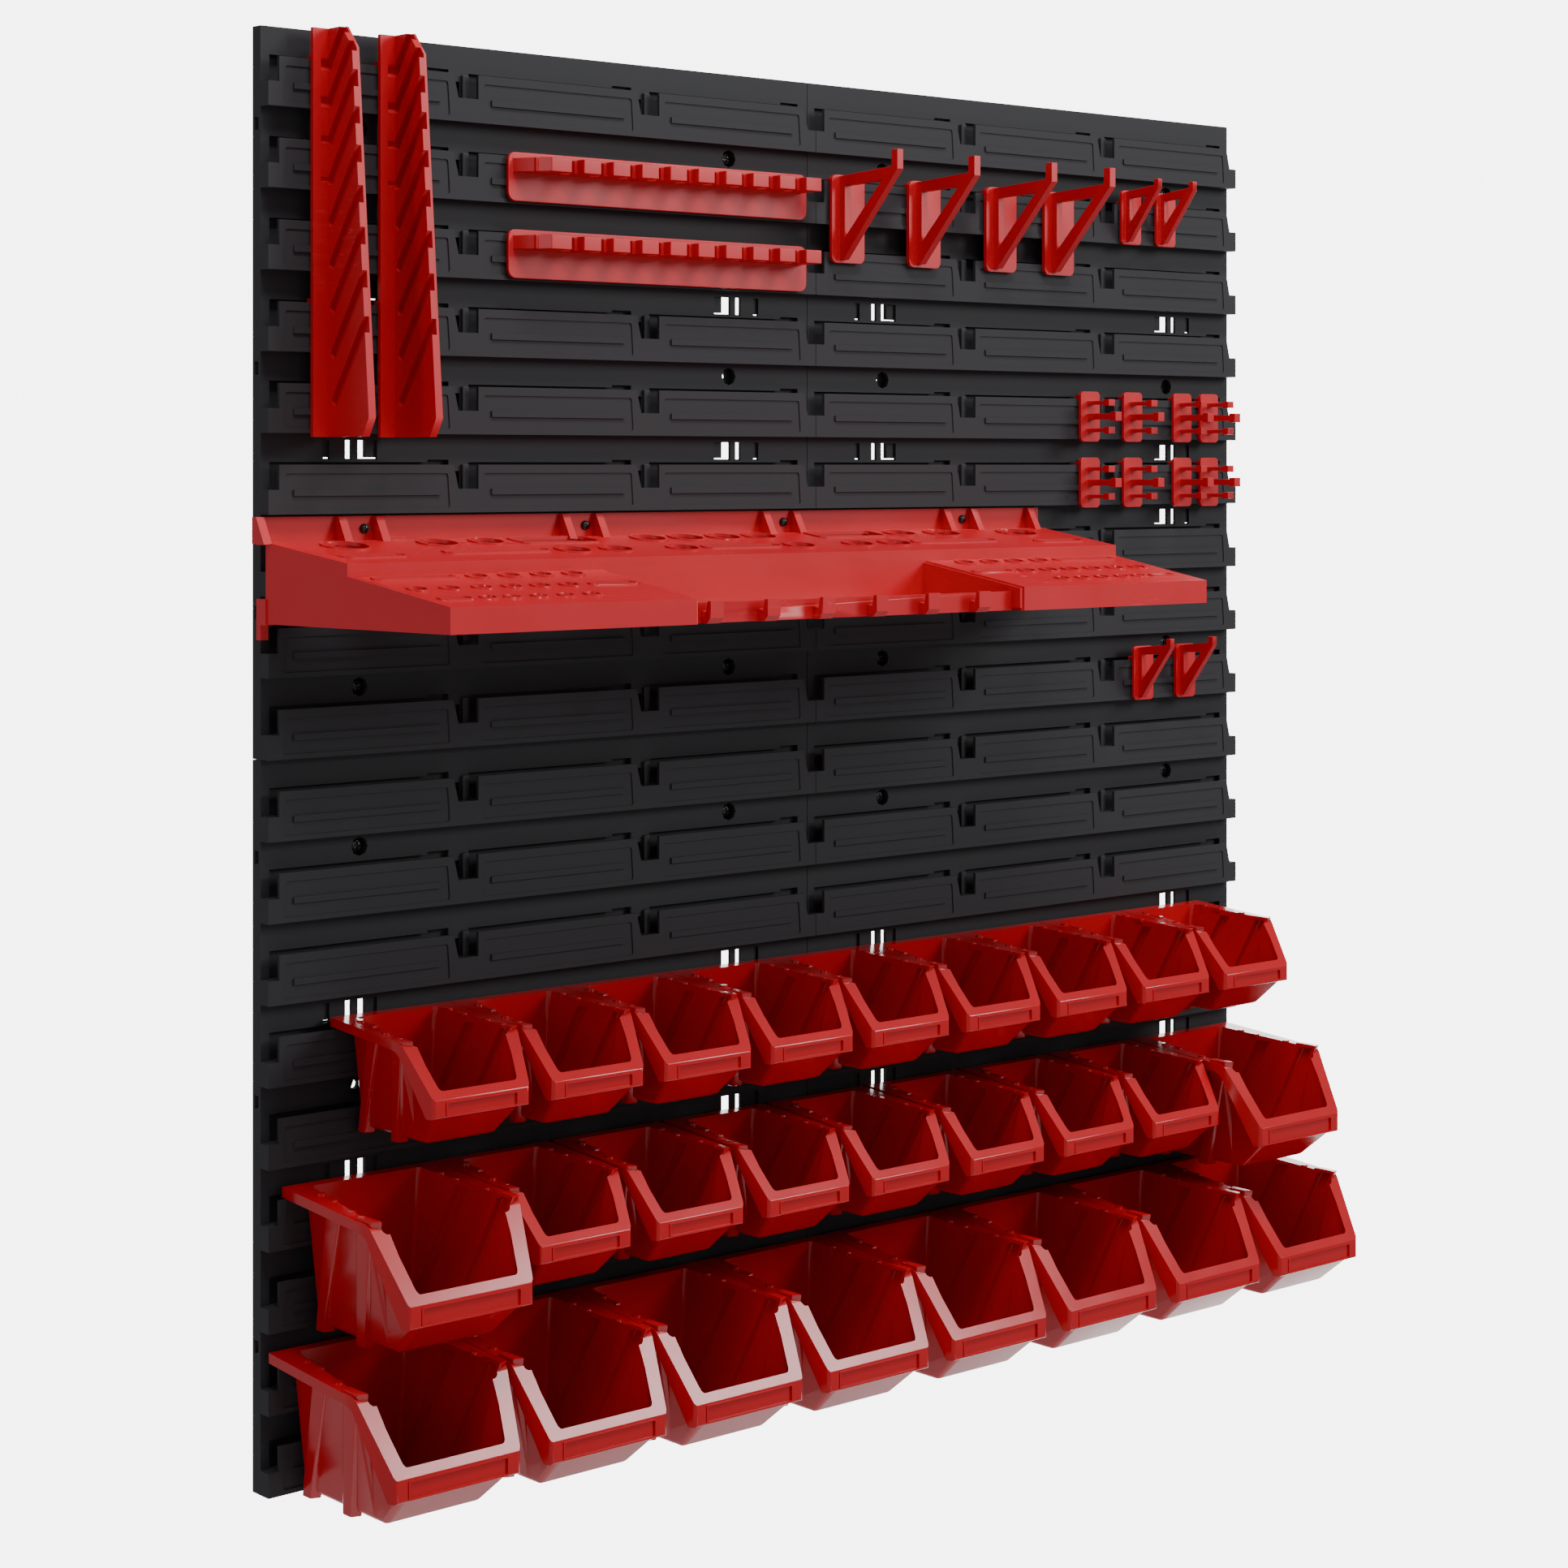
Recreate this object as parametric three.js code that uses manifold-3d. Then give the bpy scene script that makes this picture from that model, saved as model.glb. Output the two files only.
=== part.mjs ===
// Louvred tool wall: four joined panels with rows of hook-over lips, hopper bins, a tool shelf, racks,
// hooks and clips. Millimetres, +Z up, +X to the right seen from the front. The wall plane is Y = 0 and
// everything stands out from it towards -Y. Lengths called "out" are measured from the panels' front skin.
import * as THREE from 'three';
import { mergeVertices } from 'three/addons/utils/BufferGeometryUtils.js';
import { ConvexGeometry } from 'three/addons/geometries/ConvexGeometry.js';
import Module from 'manifold-3d';

// ---- driving dimensions --------------------------------------------------------------------------

const PANEL = { width: 386, height: 390, skin: 2, rimDepth: 8, rimWall: 3, joint: 0.4 };
const ROWS = 9;
const PITCH = PANEL.height / ROWS;
const LIPS_PER_ROW = 3;
const LIP = { pitch: PANEL.width / LIPS_PER_ROW, start: 6.7, length: 112, lean: 3.5, top: 26.5, wall: 2 };
const LEDGE = { height: 13.1, out: 8, wall: 2 };
const WINDOW = { before: 1.2, beyond: 2, above: 1.4, earLong: 14, earAbove: 2.8 };
const SCREW_HOLE = { recess: 5.3, floor: 3, bore: 2.5, boss: 7.3, inset: 62.2, belowLedge: 7 };
const SCREW_GAPS = [1, 4, 8];
const SLOT = { height: 10.6, gaps: [3, 5, 6], places: [[39, 43], [53, 57], [61, 73.5]] };
const TONGUE = { length: 3, height: 6, deep: 3, gaps: [1, 4, 7], slack: 0.5 };
const TAB = { out: 3.2, wall: 2, deep: 6, gap: 0.3 };
const SEAM = { x: -PANEL.rimWall / 2, z: -PANEL.rimWall / 2 };
const ROUND = 8;

const SMALL_BIN = { width: 76.8, front: 61.5, reach: 91, height: 60, body: 57, flare: 72, foot: 44.6, band: 4.8,
  frontBand: 9.6, frontDrop: 33.5, slopeAt: 69, toe: 71 };
const LARGE_BIN = { width: 97.4, front: 78, reach: 110, height: 75, body: 75, flare: 92, foot: 60, band: 5.4,
  frontBand: 11.8, frontDrop: 45, slopeAt: 84, toe: 86 };
const BIN = { wall: 1.8, rimFall: 0.075, seat: 0.3, rise: 6.5, hookOut: 3.2, hookWall: 2, hookDeep: 8,
  bodyOut: 8.6, tailCut: 5 };

const RED_PLASTIC = new THREE.MeshStandardMaterial({ color: 0xb80a0e, roughness: 0.22, metalness: 0 });
const SATIN_RED = new THREE.MeshStandardMaterial({ color: 0xc8141a, roughness: 0.42, metalness: 0 });
const BLACK_PLASTIC = new THREE.MeshStandardMaterial({ color: 0x1c1d1f, roughness: 0.5, metalness: 0 });
const BLACK_STEEL = new THREE.MeshStandardMaterial({ color: 0x15161a, roughness: 0.35, metalness: 0.8 });

// ---- solids --------------------------------------------------------------------------------------

const wasm = await Module();
wasm.setup();

function solid(geometry) {
  const bare = geometry.clone();
  bare.deleteAttribute('normal');
  bare.deleteAttribute('uv');
  const merged = mergeVertices(bare, 1e-4);
  return new wasm.Manifold(new wasm.Mesh({
    numProp: 3,
    vertProperties: Float32Array.from(merged.attributes.position.array),
    triVerts: Uint32Array.from(merged.index.array),
  }));
}

function geometryOf(body) {
  const mesh = body.getMesh();
  const geometry = new THREE.BufferGeometry();
  geometry.setAttribute('position', new THREE.BufferAttribute(mesh.vertProperties.slice(), 3));
  geometry.setIndex(new THREE.BufferAttribute(mesh.triVerts.slice(), 1));
  geometry.computeVertexNormals();
  return geometry;
}

function block(x0, x1, y0, y1, z0, z1) {
  const geometry = new THREE.BoxGeometry(x1 - x0, y1 - y0, z1 - z0);
  return solid(geometry.translate((x0 + x1) / 2, (y0 + y1) / 2, (z0 + z1) / 2));
}

function hull(points) {
  return solid(new ConvexGeometry(points.map(([x, y, z]) => new THREE.Vector3(x, y, z))));
}

function shapeOf(outline, holes = []) {
  const shape = new THREE.Shape(outline.map(([u, v]) => new THREE.Vector2(u, v)));
  shape.holes = holes;
  return shape;
}

function extruded(shape, depth) {
  return new THREE.ExtrudeGeometry(shape, { depth, bevelEnabled: false, curveSegments: 2 });
}

// An outline in X and Z, thickened from y0 towards -Y.
function frontal(shape, y0, depth) {
  return solid(extruded(shape, depth).rotateX(Math.PI / 2).translate(0, y0, 0));
}

// An outline in out (towards -Y) and Z, thickened from x0 towards +X.
function sideways(shape, x0, depth) {
  const turned = extruded(shape, depth).rotateX(Math.PI / 2).rotateZ(-Math.PI / 2);
  return solid(turned.translate(x0, 0, 0));
}

// A round rod along Y, from y0 to y1.
function rod(x, z, y0, y1, radius, sides = ROUND) {
  const geometry = new THREE.CylinderGeometry(radius, radius, y1 - y0, sides);
  return solid(geometry.translate(x, (y0 + y1) / 2, z));
}

// A round rod standing along Z, from z0 to z1.
function post(x, y, z0, z1, radius, sides = ROUND) {
  const geometry = new THREE.CylinderGeometry(radius, radius, z1 - z0, sides).rotateX(Math.PI / 2);
  return solid(geometry.translate(x, y, (z0 + z1) / 2));
}

function joined(parts) {
  return parts.reduce((whole, part) => whole.add(part));
}

function rounded(x0, x1, z0, z1, radius) {
  const shape = new THREE.Shape();
  shape.moveTo(x0 + radius, z0);
  shape.lineTo(x1 - radius, z0);
  shape.absarc(x1 - radius, z0 + radius, radius, -Math.PI / 2, 0);
  shape.lineTo(x1, z1 - radius);
  shape.absarc(x1 - radius, z1 - radius, radius, 0, Math.PI / 2);
  shape.lineTo(x0 + radius, z1);
  shape.absarc(x0 + radius, z1 - radius, radius, Math.PI / 2, Math.PI);
  shape.lineTo(x0, z0 + radius);
  shape.absarc(x0 + radius, z0 + radius, radius, Math.PI, 1.5 * Math.PI);
  return shape;
}

// ---- places on the wall ---------------------------------------------------------------------------

const SKIN_Y = -PANEL.rimDepth;
const FRONT_Y = SKIN_Y - LEDGE.out;

// Height of a row's lip tops above the middle joint; rows count from 1 at the top of each panel.
function lipTop(row, lowerPanel = false) {
  const panelTop = lowerPanel ? 0 : PANEL.height;
  return panelTop - PITCH * row + LIP.top;
}

// A tab that runs from a plate over the top of a lip and down behind it.
function lipTab(x0, x1, lipZ) {
  const over = lipZ + TAB.gap;
  const behind = -TAB.out - TAB.wall;
  return joined([
    block(x0, x1, -LEDGE.out - 1, -TAB.out, over, over + TAB.wall),
    block(x0, x1, behind, -TAB.out, lipZ - TAB.deep, over + 0.5),
  ]);
}

// ---- panel ----------------------------------------------------------------------------------------

function panelSolid() {
  const width = PANEL.width - PANEL.joint;
  const height = PANEL.height - PANEL.joint;
  const inner = PANEL.rimWall;
  const skinBack = SKIN_Y + PANEL.skin;
  let body = block(0, width, SKIN_Y, 0, 0, height)
    .subtract(block(inner, width - inner, skinBack, 1, inner, height - inner));
  const cuts = [];
  for (let row = 1; row <= ROWS; row++) {
    const foot = height - PITCH * row + PANEL.joint;
    const floor = foot + LEDGE.height;
    body = body.add(block(0, width, FRONT_Y, SKIN_Y, foot, floor));
    const hollow = [foot + LEDGE.wall, floor - LEDGE.wall];
    cuts.push(block(inner, width - inner, FRONT_Y + LEDGE.wall, 1, ...hollow));
    for (let lip = 0; lip < LIPS_PER_ROW; lip++) {
      const left = LIP.start + LIP.pitch * lip;
      const right = left + LIP.length;
      const top = foot + LIP.top;
      const outline = shapeOf([[left, floor - 1], [right + LIP.lean, floor - 1], [right, top], [left, top]]);
      body = body.add(frontal(outline, FRONT_Y + LIP.wall, LIP.wall));
      const last = right + WINDOW.beyond;
      cuts.push(block(left - WINDOW.before, last, SKIN_Y - 1, skinBack + 1, floor, top + WINDOW.above));
      cuts.push(block(last - WINDOW.earLong, last, SKIN_Y - 1, skinBack + 1, floor, top + WINDOW.earAbove));
    }
  }
  for (const gap of SCREW_GAPS) {
    for (const x of [SCREW_HOLE.inset, width - SCREW_HOLE.inset]) {
      const z = height - PITCH * gap - SCREW_HOLE.belowLedge;
      body = body.add(rod(x, z, SKIN_Y + 1, 0, SCREW_HOLE.boss));
      cuts.push(rod(x, z, SKIN_Y - 1, -SCREW_HOLE.floor, SCREW_HOLE.recess));
      cuts.push(rod(x, z, -SCREW_HOLE.floor - 1, 1, SCREW_HOLE.bore, 8));
    }
  }
  for (const gap of SLOT.gaps) {
    const middle = height - PITCH * gap - (PITCH - LIP.top) / 2;
    for (const [from, to] of SLOT.places) {
      const rows = [middle - SLOT.height / 2, middle + SLOT.height / 2];
      cuts.push(block(from, to, SKIN_Y - 1, skinBack + 1, ...rows));
      cuts.push(block(width - to, width - from, SKIN_Y - 1, skinBack + 1, ...rows));
    }
  }
  const tongues = [];
  for (const gap of TONGUE.gaps) {
    const middle = height - PITCH * gap - (PITCH - LIP.top) / 2;
    const half = TONGUE.height / 2;
    const open = half + TONGUE.slack;
    const front = SKIN_Y + PANEL.skin + 0.5;
    tongues.push(block(width - 1, width + TONGUE.length - TONGUE.slack, front, front + TONGUE.deep,
      middle - half, middle + half));
    cuts.push(block(-1, inner + 1, front - TONGUE.slack, front + TONGUE.deep + TONGUE.slack,
      middle - open, middle + open));
  }
  return joined([body.subtract(joined(cuts)), ...tongues]);
}

function screwSolid() {
  const head = rod(0, 0, -SCREW_HOLE.floor - 2.4, -SCREW_HOLE.floor - 0.3, 4.4);
  const shank = rod(0, 0, -SCREW_HOLE.floor - 1, -0.3, SCREW_HOLE.bore - 0.3, 8);
  const slot = (long, high) => block(-long, long, -SCREW_HOLE.floor - 3, -SCREW_HOLE.floor - 1.4, -high, high);
  return head.add(shank).subtract(slot(2.4, 0.5).add(slot(0.5, 2.4)));
}

// ---- hopper bin -----------------------------------------------------------------------------------
// Local frame: X across, out towards -Y from the panel skin, Z = 0 at the rim's rear top edge.

function mirrored(points) {
  return points.flatMap(([half, out, z]) => [[half, -out, z], [-half, -out, z]]);
}

// The rim: a level block that falls a little towards the front, and a sloping one down to the front band.
function rimSolid(size) {
  const slopeZ = -BIN.rimFall * (size.slopeAt - BIN.hookOut);
  const half = size.width / 2;
  const frontHalf = size.front / 2;
  const frontLow = -size.frontDrop - size.frontBand;
  const level = hull(mirrored([
    [half, BIN.hookOut, 0], [half, BIN.hookOut, -size.band],
    [half, size.slopeAt, slopeZ], [half, size.slopeAt - 1.5, slopeZ - size.band],
  ]));
  const slope = hull(mirrored([
    [half, size.slopeAt - 0.01, slopeZ], [half, size.slopeAt - 1.5, slopeZ - size.band],
    [frontHalf, size.reach, -size.frontDrop], [frontHalf, size.reach, frontLow],
    [frontHalf + 2, size.reach - BIN.tailCut, frontLow],
  ]));
  return level.add(slope);
}

function binSolid(size) {
  const w = BIN.wall;
  const rear = BIN.bodyOut;
  const front = size.reach - 1;
  const slopeZ = -BIN.rimFall * (size.slopeAt - BIN.hookOut);
  const lowFront = -size.frontDrop - size.frontBand + 1;
  const bodyPoints = (inset, top, bottom) => mirrored([
    [size.body / 2 - inset, rear + inset, top], [size.foot / 2 - inset, rear + inset + 1, bottom],
    [size.foot / 2 - inset, size.toe - inset, bottom],
    [size.front / 2 - 1 - inset, front - inset, lowFront + inset],
  ]);
  const outer = hull([...bodyPoints(0, -1, -size.height), ...mirrored([
    [size.flare / 2, size.slopeAt, slopeZ - 1], [size.front / 2 - 1, front, -size.frontDrop - 1],
  ])]);
  const above = 10;
  const inner = hull([...bodyPoints(w, above, w - size.height), ...mirrored([
    [size.front / 2 - 1 - w, front - w, above], [size.flare / 2 - w, size.slopeAt, above],
  ])]);
  const hookHalf = size.body / 2 - 6;
  const hook = block(-hookHalf, hookHalf, -BIN.hookOut - BIN.hookWall, -BIN.hookOut,
    -BIN.rise - BIN.hookDeep, -1);
  const saddle = (x) => block(x - 1, x + 1, -rear - 1, -BIN.hookOut - 1, BIN.seat - BIN.rise, -1.2);
  const body = joined([rimSolid(size), outer, hook, saddle(hookHalf - 4), saddle(4 - hookHalf)]);
  return body.subtract(inner);
}

// ---- tool shelf -----------------------------------------------------------------------------------

const SHELF = { middle: -95.6, backHalf: 293, frontHalf: 279.5, out: 160, wall: 2.4, top: 129, bottom: 72.5,
  back: 115.7, stepOut: 78, stepTop: 106, stepBottom: 99.8, frontTop: 86.2, wingInner: 122, trayZ: 78.5,
  trayBack: 8, clearOut: 8.6, skinGap: 0.4, lipRow: 7 };
const SHELF_SCREWS = { pitch: 150.3, z: 122, radius: 2.4, ribGap: 9.5, rib: 5 };
const SHELF_HOOKS = { count: 6, pitch: 39.7, width: 9 };

function shelfHalf(out) {
  return SHELF.backHalf + (SHELF.frontHalf - SHELF.backHalf) * (out / SHELF.out);
}

// A solid whose side profile runs the shelf's full width, narrowing towards the front.
function shelfSlab(profile, inset) {
  return hull(profile.flatMap(([out, z]) => [-1, 1].map((side) => [
    side * (shelfHalf(out) - inset), -out, z])));
}

// Round holes are [x, out, radius] and slots [from x, to x, from out, to out], from the shelf's middle.
const DECK_HOLES = {
  rounds: [[252, 26, 12.5], [190, 22, 11], [156, 20, 9.5], [121, 53, 9.5], [91, 53, 9], [42, 20, 10],
    [14, 20, 10], [44, 54, 9]],
  slots: [[237, 275, 55, 62], [84, 136, 11, 29], [138, 206, 48, 55]],
  middleSlot: [-28, 28, 50, 57],
};
const WING_ROWS = [
  { out: 87, radius: 5.5, at: [210, 189, 168, 147], slot: [224, 275] },
  { out: 115.5, radius: 5, at: [267, 247, 227, 208, 189.5, 171], slot: [127, 157] },
  { out: 141, radius: 4, at: [241, 226, 209, 192, 175], slot: [252, 271] },
];

function shelfDeckHoles() {
  const upperZ = [SHELF.stepBottom + 1, SHELF.top];
  const wingZ = [SHELF.bottom, SHELF.stepTop];
  const cuts = [];
  const slotCut = (side, [from, to], out0, out1, z) => {
    const [x0, x1] = side < 0 ? [-to, -from] : [from, to];
    cuts.push(block(x0, x1, -out1, -out0, ...z));
  };
  for (const side of [-1, 1]) {
    for (const [x, out, radius] of DECK_HOLES.rounds) {
      cuts.push(post(side * x, -out, ...upperZ, radius));
    }
    for (const [from, to, out0, out1] of DECK_HOLES.slots) {
      slotCut(side, [from, to], out0, out1, upperZ);
    }
    for (const row of WING_ROWS) {
      for (const x of row.at) {
        cuts.push(post(side * x, -row.out, ...wingZ, row.radius, 6));
      }
      slotCut(side, row.slot, row.out - 3, row.out + 3, wingZ);
    }
  }
  const [from, to, out0, out1] = DECK_HOLES.middleSlot;
  slotCut(1, [from, to], out0, out1, upperZ);
  return cuts;
}

function shelfSolid() {
  const w = SHELF.wall;
  const { out, clearOut, skinGap } = SHELF;
  const upper = [[clearOut, SHELF.back], [SHELF.stepOut, SHELF.stepTop], [SHELF.stepOut, SHELF.bottom],
    [clearOut, SHELF.bottom]];
  const lower = [[SHELF.stepOut - 3, SHELF.stepBottom], [out, SHELF.frontTop], [out, SHELF.bottom],
    [SHELF.stepOut - 3, SHELF.bottom]];
  const sunk = ([o, z], last) => [Math.min(o, last), z === SHELF.bottom ? z - 2 : z - w];
  const upperHollow = upper.map((p) => sunk(p, SHELF.stepOut - w));
  const lowerHollow = lower.map((p) => sunk(p, out - w));
  upperHollow[0][0] = clearOut - 1;
  upperHollow[3][0] = clearOut - 1;
  lowerHollow[0][0] = SHELF.stepOut - w - 1;
  lowerHollow[3][0] = SHELF.stepOut - w - 1;
  let body = joined([shelfSlab(upper, 0), shelfSlab(lower, 0)]);
  body = body.subtract(shelfSlab(upperHollow, w)).subtract(shelfSlab(lowerHollow, w));

  const trayHalf = SHELF.wingInner;
  const trayOut = out - SHELF.trayBack;
  const recess = block(-trayHalf, trayHalf, -out - 1, -SHELF.stepOut, SHELF.trayZ, SHELF.top);
  const underTray = block(-trayHalf, trayHalf, -out - 1, -trayOut, SHELF.bottom - 1, SHELF.top);
  body = body.subtract(recess).subtract(underTray);
  const tray = block(-trayHalf, trayHalf, -trayOut, -SHELF.stepOut + 1, SHELF.trayZ - w, SHELF.trayZ);
  const riserZ = [SHELF.trayZ - w, SHELF.stepTop - 1];
  const riser = block(-trayHalf, trayHalf, -SHELF.stepOut, -SHELF.stepOut + w, ...riserZ);
  const lip = block(-trayHalf, trayHalf, -trayOut, -trayOut + w, SHELF.bottom, SHELF.trayZ + 5);
  const cheek = (side) => block(side * SHELF.wingInner - w / 2, side * SHELF.wingInner + w / 2, -out + 1,
    -SHELF.stepOut + 1, SHELF.bottom, SHELF.frontTop - 1.5);
  body = joined([body, tray, riser, lip, cheek(-1), cheek(1)]);
  body = body.subtract(joined(shelfDeckHoles()));

  const flangeBottom = lipTop(SHELF.lipRow) + 1;
  const flange = block(-SHELF.backHalf, SHELF.backHalf, -skinGap - w, -skinGap, flangeBottom, SHELF.top);
  const bridge = block(-SHELF.backHalf, SHELF.backHalf, -clearOut - 1, -skinGap, flangeBottom, SHELF.back);
  const toeTop = lipTop(SHELF.lipRow) - LIP.top - 1;
  const toeLow = lipTop(SHELF.lipRow + 1) - 6;
  const toe = (x) => joined([
    block(x, x + 5, -clearOut - 1, -skinGap, lipTop(SHELF.lipRow + 1) + 2, toeTop),
    block(x, x + 5, -skinGap - 4, -skinGap, toeLow, toeTop),
  ]);
  body = joined([body, flange, bridge, toe(-SHELF.backHalf), toe(SHELF.backHalf - 5)]);

  const ribShape = shapeOf([[1, SHELF.back - 1], [13, SHELF.back - 1], [5, SHELF.top], [1, SHELF.top]]);
  const ribs = [-SHELF.backHalf + 2, SHELF.backHalf - 2 - SHELF_SCREWS.rib];
  const holes = [];
  for (const step of [-1.5, -0.5, 0.5, 1.5]) {
    const x = step * SHELF_SCREWS.pitch;
    ribs.push(x - SHELF_SCREWS.ribGap - SHELF_SCREWS.rib, x + SHELF_SCREWS.ribGap);
    holes.push(rod(x, SHELF_SCREWS.z, -10, 2, SHELF_SCREWS.radius, 10));
  }
  body = joined([body, ...ribs.map((x) => sideways(ribShape, x, SHELF_SCREWS.rib))]);
  body = body.subtract(joined(holes));

  const hookShape = shapeOf([[-1, -6], [5, -6], [8, -3], [8, 6], [5.5, 6], [4, 0], [-1, 1]]
    .map(([o, z]) => [trayOut + o, SHELF.trayZ + z]));
  for (let i = 0; i < SHELF_HOOKS.count; i++) {
    const x = (i - (SHELF_HOOKS.count - 1) / 2) * SHELF_HOOKS.pitch;
    body = body.add(sideways(hookShape, x - SHELF_HOOKS.width / 2, SHELF_HOOKS.width));
  }
  return body;
}

// ---- wrench rack ----------------------------------------------------------------------------------

const WRENCH = { bottom: 171.5, top: 390, flange: 15, flangeWall: 2.5, web: 4.5, topOut: 33, bottomOut: 50,
  slots: 9, firstSlot: 370, firstGap: 19.6, gapGrowth: 0.79, slotWide: 6, slotLong: 52, slotAngle: 0.95,
  tabRows: [1, 4], pitch: 42.7, left: -360 };

function wrenchOut(z) {
  return WRENCH.topOut + (WRENCH.bottomOut - WRENCH.topOut) * (WRENCH.top - z) / (WRENCH.top - WRENCH.bottom);
}

function wrenchRackSolid() {
  const base = LEDGE.out + 0.4;
  const plate = block(0, WRENCH.flange, -base - WRENCH.flangeWall, -base, WRENCH.bottom, WRENCH.top);
  const edge = shapeOf([[base, WRENCH.bottom], [WRENCH.bottomOut - 6, WRENCH.bottom],
    [WRENCH.bottomOut, WRENCH.bottom + 10], [wrenchOut(WRENCH.top - 12), WRENCH.top - 12],
    [WRENCH.topOut - 9, WRENCH.top], [base, WRENCH.top]]);
  let body = plate.add(sideways(edge, WRENCH.flange - 1, WRENCH.web));
  let z = WRENCH.firstSlot;
  for (let i = 0; i < WRENCH.slots; i++) {
    const out = wrenchOut(z) - 23 - i;
    const slot = new THREE.Shape();
    slot.absarc(out, z, WRENCH.slotWide / 2, WRENCH.slotAngle + Math.PI / 2, WRENCH.slotAngle + 1.5 * Math.PI);
    const { x, y } = slot.getPoint(1);
    const run = WRENCH.slotLong * Math.cos(WRENCH.slotAngle);
    const rise = WRENCH.slotLong * Math.sin(WRENCH.slotAngle);
    slot.lineTo(x + run, y + rise);
    slot.lineTo(2 * out - x + run, 2 * z - y + rise);
    body = body.subtract(sideways(slot, WRENCH.flange - 2.5, WRENCH.web + 3));
    z -= WRENCH.firstGap + WRENCH.gapGrowth * i;
  }
  const tabs = WRENCH.tabRows.map((row) => lipTab(1, WRENCH.flange - 1, lipTop(row)));
  return joined([body, ...tabs]);
}

// ---- screwdriver rack -----------------------------------------------------------------------------

const DRIVER = { width: 222, height: 27.5, wall: 2.4, radius: 5, teeth: 10, pitch: 20.8, tooth: 12.2, out: 30,
  barZ: 16, barHigh: 8, root: 15, firstTooth: 24, left: -232, rows: [2, 3], lipAt: 25.2 };

function driverRackSolid() {
  const base = LEDGE.out + 0.4;
  const plate = frontal(rounded(0, DRIVER.width, 0, DRIVER.height, DRIVER.radius), -base, DRIVER.wall);
  const high = DRIVER.barZ + DRIVER.barHigh;
  const last = DRIVER.firstTooth + DRIVER.pitch * (DRIVER.teeth - 1) + DRIVER.tooth / 2;
  const bar = block(10, last, -base - DRIVER.root, -base - 1, DRIVER.barZ, high);
  const brace = hull([DRIVER.barZ, high].flatMap((z) => [
    [2, -base - 1, z], [26, -base - 1, z], [26, -DRIVER.out, z], [DRIVER.firstTooth - 8, -DRIVER.out, z]]));
  const tabs = [20, DRIVER.width - 50].map((x) => lipTab(x, x + 30, DRIVER.lipAt));
  let body = joined([plate, bar, brace, ...tabs]);
  for (let i = 0; i < DRIVER.teeth; i++) {
    const x = DRIVER.firstTooth + DRIVER.pitch * i;
    const half = DRIVER.tooth / 2;
    body = body.add(block(x - half, x + half, -DRIVER.out, -base - 2, DRIVER.barZ, high));
    if (i < DRIVER.teeth - 1) {
      body = body.subtract(post(x + DRIVER.pitch / 2, -base - 11, DRIVER.barZ - 1, high + 1, 5.2, 6));
    }
  }
  return body;
}

// ---- hooks and clips ------------------------------------------------------------------------------

const LARGE_HOOK = { plateWide: 27, plateHigh: 54, wall: 2.6, reach: 63, web: 5, tip: 11, corner: 4, strut: 5.5,
  lipAt: 49.8 };
const SMALL_HOOK = { plateWide: 19, plateHigh: 36, wall: 2.4, reach: 40, web: 4, tip: 5, corner: 3, strut: 4,
  lipAt: 26.8 };
const CLIP = { wide: 18, high: 33, wall: 2.4, reach: 36, corner: 3, prongHalf: 3, tipLong: 5, spread: 9,
  lipAt: 28 };

// Local frame: X from the plate's middle, Z = 0 at the plate's foot.
function hookSolid(size) {
  const base = LEDGE.out + 0.4;
  const half = size.plateWide / 2;
  const plate = frontal(rounded(-half, half, 0, size.plateHigh, size.corner), -base, size.wall);
  const { reach, strut } = size;
  const high = size.plateHigh - 1;
  const armHigh = high + 2;
  const outline = shapeOf([[base + 1, 2], [base + 6, 2], [reach, armHigh - 1], [reach, armHigh + size.tip],
    [reach - strut, armHigh + size.tip], [reach - strut, armHigh + 1], [base + 1, high]]);
  const gap = new THREE.Path([[base + strut + 2, strut + 10], [reach - 2.6 * strut, armHigh - strut - 1.5],
    [base + strut + 2, high - strut - 0.5]].map(([u, v]) => new THREE.Vector2(u, v)));
  outline.holes = [gap];
  return joined([plate, sideways(outline, -size.web / 2, size.web), lipTab(2 - half, half - 2, size.lipAt)]);
}

function clipSolid() {
  const base = LEDGE.out + 0.4;
  const half = CLIP.wide / 2;
  const plate = frontal(rounded(-half, half, 0, CLIP.high, CLIP.corner), -base, CLIP.wall);
  const prong = (z, reach, thick) => joined([
    block(-CLIP.prongHalf, CLIP.prongHalf, -reach, -base - 1, z - thick / 2, z + thick / 2),
    block(-CLIP.prongHalf, CLIP.prongHalf, -reach, CLIP.tipLong - reach, z - thick / 2 - 1, z + thick / 2 + 1),
  ]);
  const middle = CLIP.high / 2;
  return joined([plate, lipTab(2 - half, half - 2, CLIP.lipAt), prong(middle, CLIP.reach, 4),
    prong(middle + CLIP.spread, CLIP.reach - 6, 2.4), prong(middle - CLIP.spread, CLIP.reach - 6, 2.4)]);
}

// ---- the wall -------------------------------------------------------------------------------------

const wall = new THREE.Group();
wall.position.set(SEAM.x, 0, SEAM.z);

function place(name, geometry, material, x, y, z) {
  const mesh = new THREE.Mesh(geometry, material);
  mesh.name = name;
  mesh.position.set(x, y, z);
  wall.add(mesh);
}

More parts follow.
